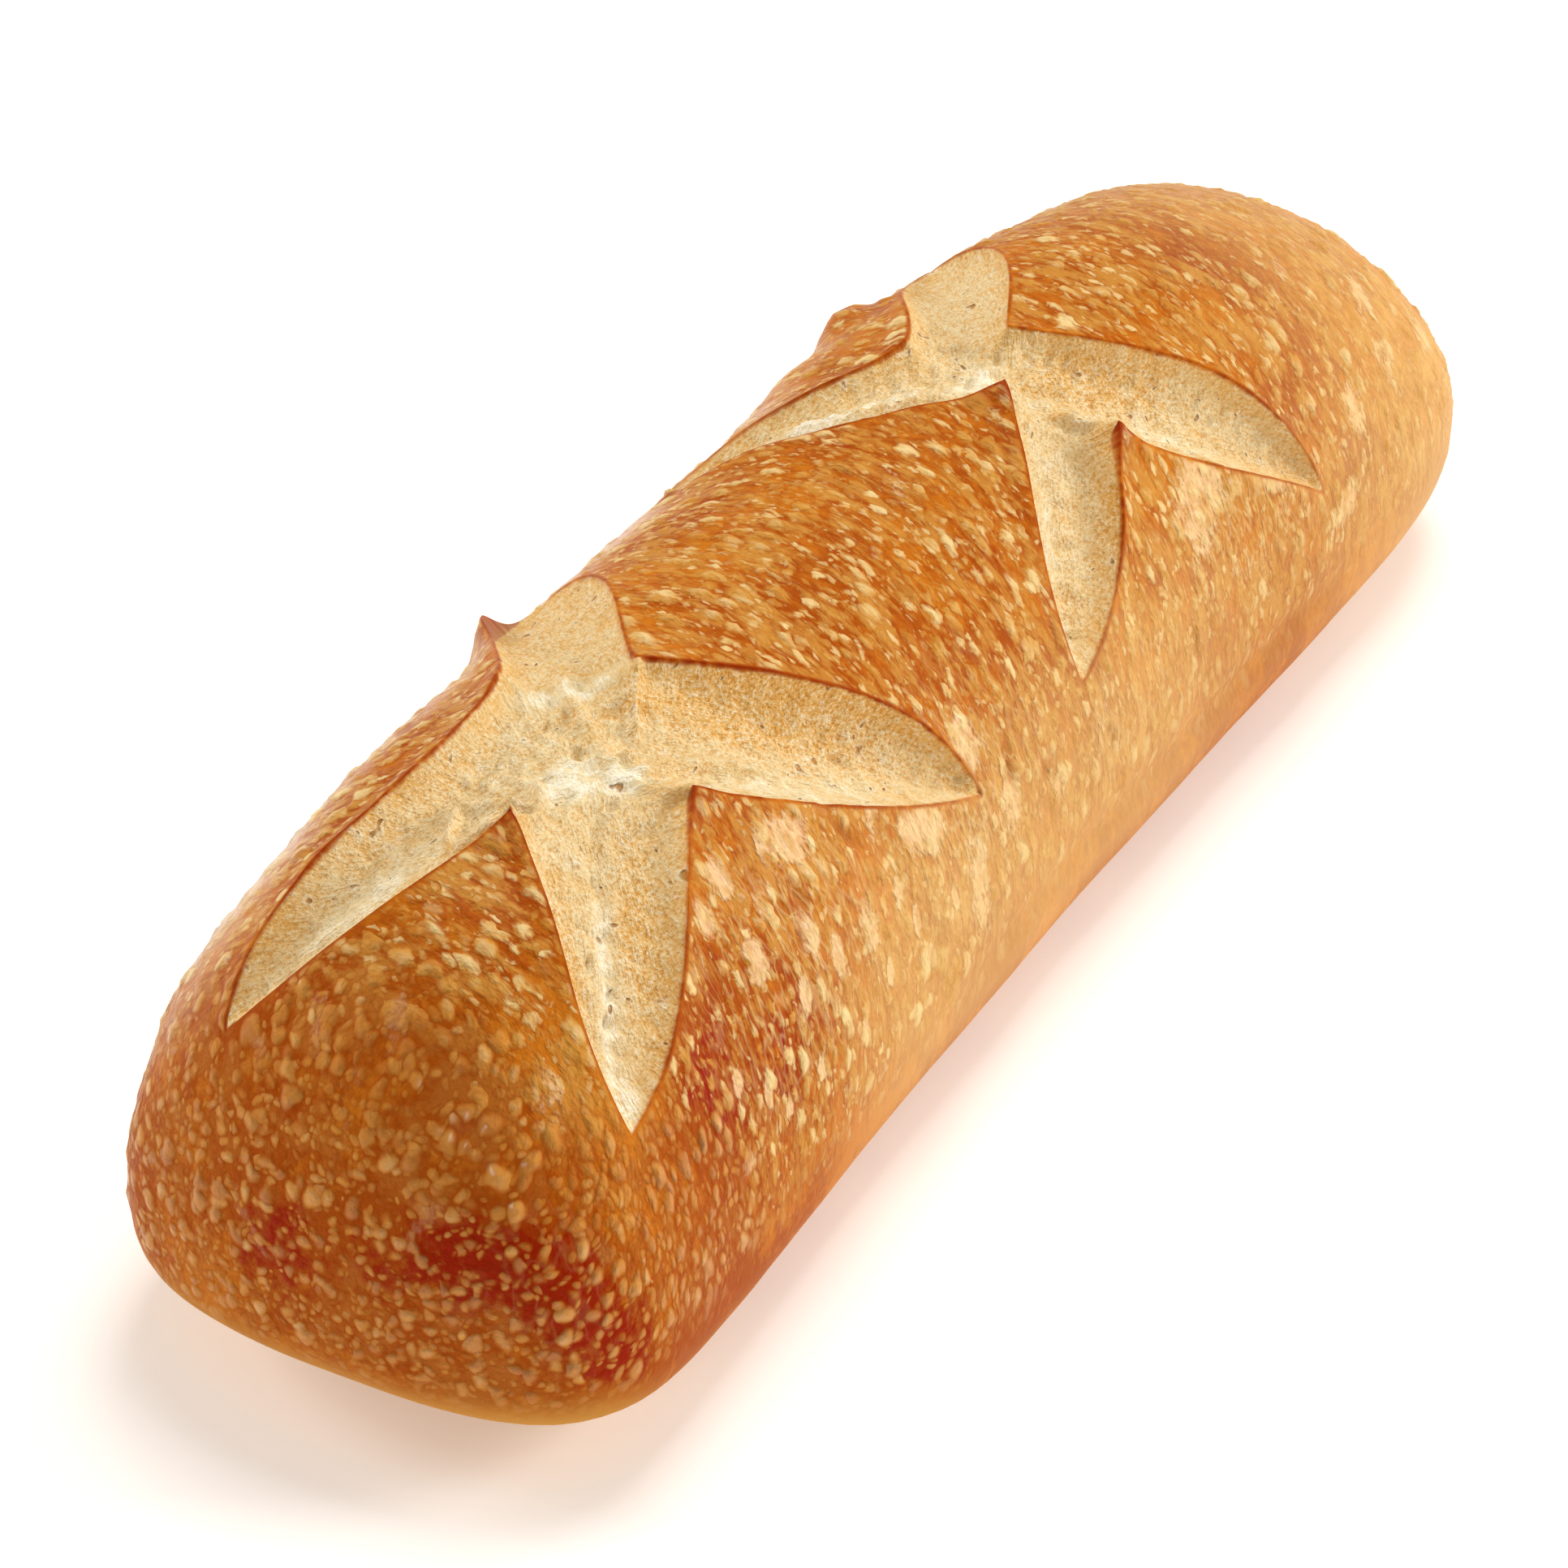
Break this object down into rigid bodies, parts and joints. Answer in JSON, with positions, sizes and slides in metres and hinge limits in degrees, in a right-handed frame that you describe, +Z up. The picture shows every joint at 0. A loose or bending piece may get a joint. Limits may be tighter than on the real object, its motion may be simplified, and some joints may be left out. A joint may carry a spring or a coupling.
{
  "type": "sourdough loaf",
  "caption": "Long whole sourdough loaf with a blistered golden crust, a blunt end, a flat foot and opened slanted cross scores along its crown",
  "frame": {"origin": "middle of the bounding box in plan, at the level of the flat foot", "axes": "+X along the loaf with the blunt end at -X, +Z up, +Y across the loaf"},
  "size_m": [0.3702, 0.1072, 0.0978],
  "materials": {
    "crust": "browned, slightly glossy bread crust with pale blisters, and matt pale crumb in the scores"
  },
  "bodies": {
    "root": {"loaf": "crust"}
  },
  "joints": []
}
